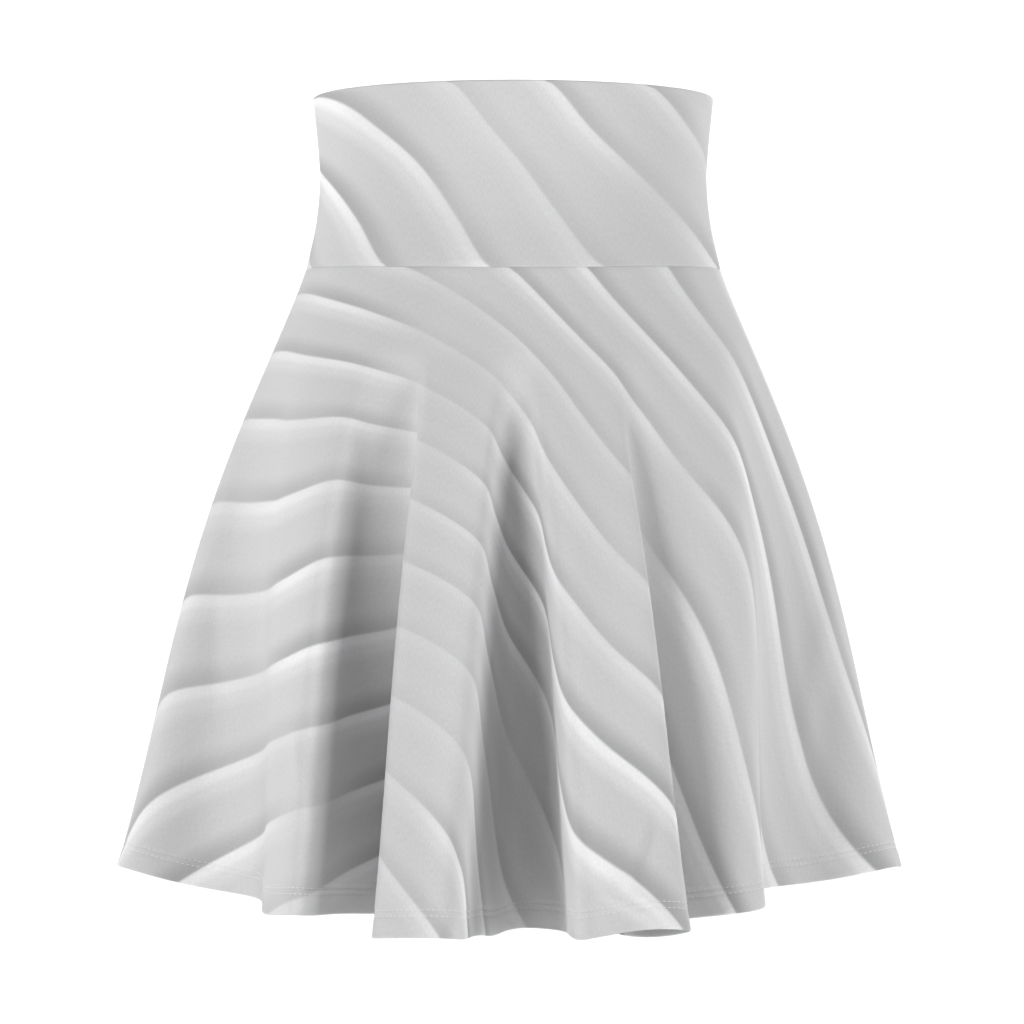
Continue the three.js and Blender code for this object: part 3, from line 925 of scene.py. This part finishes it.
def pale_floor():
    """A pale floor that sweeps up into a wall behind: a plane with its back edge extruded."""
    bpy.ops.object.select_all(action="DESELECT")
    bpy.ops.mesh.primitive_plane_add(size=2, location=(0, 0, 0))
    floor = bpy.context.object
    floor.name = "floor"
    bend = WALL_PLACE - SWEEP_START
    for vertex in floor.data.vertices:
        vertex.co.x *= FLOOR_REACH
        vertex.co.y = SWEEP_START if vertex.co.y > 0 else -FLOOR_REACH
        vertex.co.z = FLOOR_HEIGHT
    bpy.ops.object.mode_set(mode="EDIT")
    bpy.ops.mesh.select_all(action="DESELECT")
    bpy.ops.object.mode_set(mode="OBJECT")
    for edge in floor.data.edges:
        edge.select = all(floor.data.vertices[v].co.y > 0 for v in edge.vertices)
    bpy.ops.object.mode_set(mode="EDIT")
    for k in range(SWEEP_STEPS):
        a, b = (math.pi / 2 * n / SWEEP_STEPS for n in (k, k + 1))
        move = (0, bend * (math.sin(b) - math.sin(a)), bend * (math.cos(a) - math.cos(b)))
        bpy.ops.mesh.extrude_region_move(TRANSFORM_OT_translate={"value": move})
    bpy.ops.mesh.extrude_region_move(TRANSFORM_OT_translate={"value": (0, 0, WALL_TOP)})
    bpy.ops.object.mode_set(mode="OBJECT")
    bpy.ops.object.shade_smooth()
    material, _, _, shader = new_material("pale_floor")
    shader.inputs["Base Color"].default_value = (0.93, 0.93, 0.93, 1)
    shader.inputs["Roughness"].default_value = 0.9
    floor.data.materials.append(material)


Lamp = namedtuple("Lamp", "name place target size power")
LAMPS = [
    Lamp("key", (-2.16, -2.08, 0.35), (0, 0, -0.2), 1.4, 64),
    Lamp("fill", (2.54, -1.59, 0.1), (0, 0, -0.2), 1.4, 52),
    Lamp("wall_left", (-2.2, 1.4, 1.6), (-0.6, 3.4, -0.3), 1.6, 60),
    Lamp("wall_right", (2.2, 1.4, 1.6), (0.6, 3.4, -0.3), 1.6, 60),
]


def add_lamp(lamp):
    data = bpy.data.lights.new(lamp.name, "AREA")
    data.size = lamp.size
    data.energy = lamp.power
    light = bpy.data.objects.new(lamp.name, data)
    bpy.context.scene.collection.objects.link(light)
    place = np.array(lamp.place)
    light.location = place
    aim = np.array(lamp.target) - place
    level = math.hypot(aim[0], aim[1])
    light.rotation_euler = (math.pi / 2 + math.atan2(aim[2], level), 0, math.atan2(-aim[0], aim[1]))


class SKIRT_OT_stage(bpy.types.Operator):
    """Make the floor, the studio light and the camera"""

    bl_idname = "skirt.stage"
    bl_label = "Stage"

    def execute(self, context):
        scene = context.scene
        pale_floor()
        for lamp in LAMPS:
            add_lamp(lamp)
        world = bpy.data.worlds.new("studio")
        world.use_nodes = True
        background = world.node_tree.nodes["Background"]
        background.inputs["Color"].default_value = (1, 1, 1, 1)
        background.inputs["Strength"].default_value = 0.03
        scene.world = world
        camera = bpy.data.cameras.new("camera")
        camera.sensor_width = SENSOR
        camera.lens = SENSOR * CAMERA_DISTANCE / (PICTURE * PIXEL)
        eye = bpy.data.objects.new("camera", camera)
        scene.collection.objects.link(eye)
        middle = PICTURE / 2
        eye.location = ((middle - AXIS_COLUMN) * PIXEL, -CAMERA_DISTANCE, (WAIST_ROW - middle) * PIXEL)
        eye.rotation_euler = (math.pi / 2, 0, 0)
        scene.camera = eye
        scene.view_settings.view_transform = "Standard"
        return {"FINISHED"}


class SKIRT_PT_panel(bpy.types.Panel):
    """The skirt's sizes, colours and pieces"""

    bl_idname = "SKIRT_PT_panel"
    bl_label = "Skirt"
    bl_space_type = "VIEW_3D"
    bl_region_type = "UI"
    bl_category = "Skirt"

    def draw(self, context):
        for group in (context.scene.skirt_sizes, context.scene.skirt_colours):
            for name in group.__annotations__:
                self.layout.prop(group, name)
        for operator in OPERATORS:
            self.layout.operator(operator.bl_idname)


OPERATORS = (SKIRT_OT_seams, SKIRT_OT_yoke, SKIRT_OT_panels, SKIRT_OT_stage)
CLASSES = (SkirtSizes, SkirtColours, *OPERATORS, SKIRT_PT_panel)


def register():
    for cls in CLASSES:
        bpy.utils.register_class(cls)
    bpy.types.Scene.skirt_sizes = PointerProperty(type=SkirtSizes)
    bpy.types.Scene.skirt_colours = PointerProperty(type=SkirtColours)


def unregister():
    del bpy.types.Scene.skirt_colours
    del bpy.types.Scene.skirt_sizes
    for cls in reversed(CLASSES):
        bpy.utils.unregister_class(cls)


def main():
    register()
    bpy.ops.skirt.seams()
    bpy.ops.skirt.yoke()
    bpy.ops.skirt.panels()
    bpy.ops.skirt.stage()


if __name__ == "__main__":
    main()
